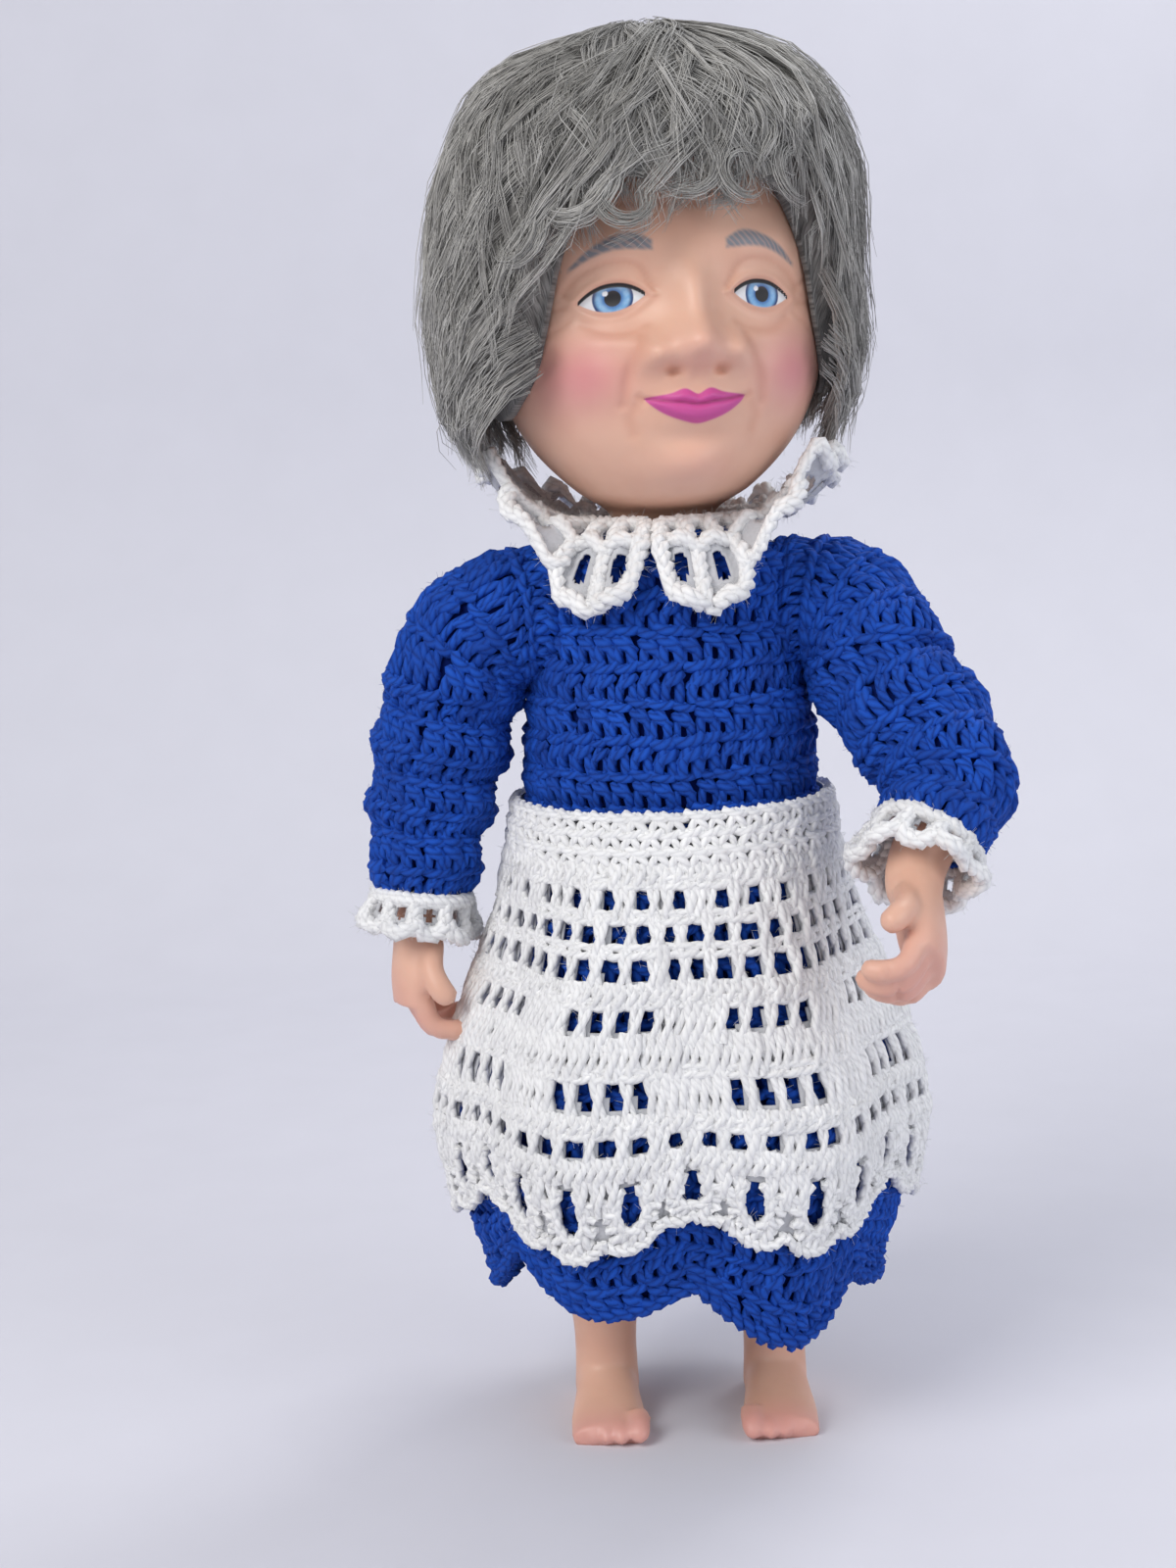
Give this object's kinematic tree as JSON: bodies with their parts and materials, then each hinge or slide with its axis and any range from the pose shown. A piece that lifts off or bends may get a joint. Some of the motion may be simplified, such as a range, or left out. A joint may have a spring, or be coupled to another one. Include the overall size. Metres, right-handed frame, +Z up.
{
  "type": "grandmother doll",
  "caption": "Jointed vinyl grandmother doll with a grey wig, a blue crocheted dress with a white ruffled collar and cuffs, and a white lace apron; head, arms and legs turn.",
  "frame": {"origin": "on the floor under the middle of the bounding box in the pose of the picture", "axes": "+Z up; the doll faces -Y; its left hand is at +X"},
  "size_m": [0.1736, 0.1482, 0.3797],
  "materials": {
    "vinyl": "satin peach vinyl",
    "hair": "grey acrylic fibre",
    "netting": "grey wig netting",
    "blue_yarn": "royal blue acrylic yarn, crocheted",
    "white_yarn": "white acrylic yarn, crocheted",
    "button": "glossy white plastic"
  },
  "bodies": {
    "torso": {"torso": "vinyl", "bodice": "blue_yarn", "left_collar": "white_yarn", "right_collar": "white_yarn", "skirt": "blue_yarn", "waistband": "white_yarn", "apron": "white_yarn", "back_button_1": "button", "back_button_2": "button", "back_button_3": "button", "waistband_button": "button"},
    "head": {"head": "vinyl", "wig_cap": "netting", "crown_weft": "hair", "fringe_weft": "hair", "left_side_weft": "hair", "right_side_weft": "hair", "back_weft": "hair"},
    "left_arm": {"left_arm": "vinyl", "left_sleeve": "blue_yarn", "left_cuff": "white_yarn"},
    "right_arm": {"right_arm": "vinyl", "right_sleeve": "blue_yarn", "right_cuff": "white_yarn"},
    "left_leg": {"left_leg": "vinyl"},
    "right_leg": {"right_leg": "vinyl"}
  },
  "joints": [
    {"name": "neck_turn", "type": "hinge", "parent": "torso", "child": "head", "pos_m": [0.00022, 0.011, 0.24], "axis": [0, 0, 1], "range_deg": [-90, 70]},
    {"name": "left_shoulder", "type": "hinge", "parent": "torso", "child": "left_arm", "pos_m": [0.02923, 0.011, 0.227], "axis": [-0.9781, 0.2079, 0], "range_deg": [-50, 90]},
    {"name": "right_shoulder", "type": "hinge", "parent": "torso", "child": "right_arm", "pos_m": [-0.02877, 0.011, 0.227], "axis": [-0.9781, -0.2079, 0], "range_deg": [-8, 132]},
    {"name": "left_hip", "type": "hinge", "parent": "torso", "child": "left_leg", "pos_m": [0.01372, 0.011, 0.128], "axis": [-1, 0, 0], "range_deg": [-15, 15]},
    {"name": "right_hip", "type": "hinge", "parent": "torso", "child": "right_leg", "pos_m": [-0.01328, 0.011, 0.128], "axis": [-1, 0, 0], "range_deg": [-15, 15]}
  ]
}
